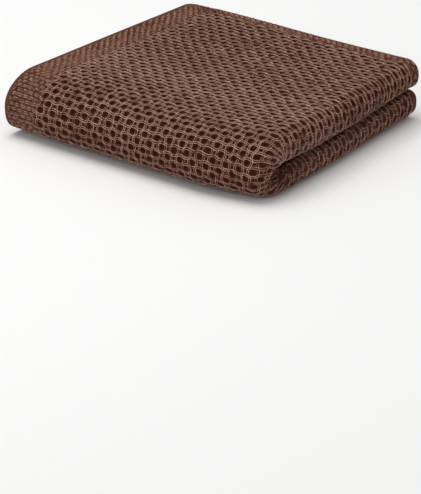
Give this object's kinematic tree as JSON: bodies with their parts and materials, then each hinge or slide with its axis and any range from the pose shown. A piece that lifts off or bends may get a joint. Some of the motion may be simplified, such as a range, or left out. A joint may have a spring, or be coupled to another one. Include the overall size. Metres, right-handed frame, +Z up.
{
  "type": "folded dishcloth",
  "caption": "Waffle-weave cotton dishcloth folded to a square, with a thick round front fold, paired round side folds and plain woven borders",
  "frame": {"origin": "on the table, at the middle of the footprint's bounding box", "axes": "+Z up; -Y is the thick round front fold; +X is the side of the paired side folds; -X is the side of the long hems; +Y is the side of the short hems"},
  "size_m": [0.1592, 0.154, 0.0325],
  "materials": {
    "cotton": "matt, open honeycomb weave"
  },
  "bodies": {
    "root": {"cloth": "cotton"}
  },
  "joints": []
}
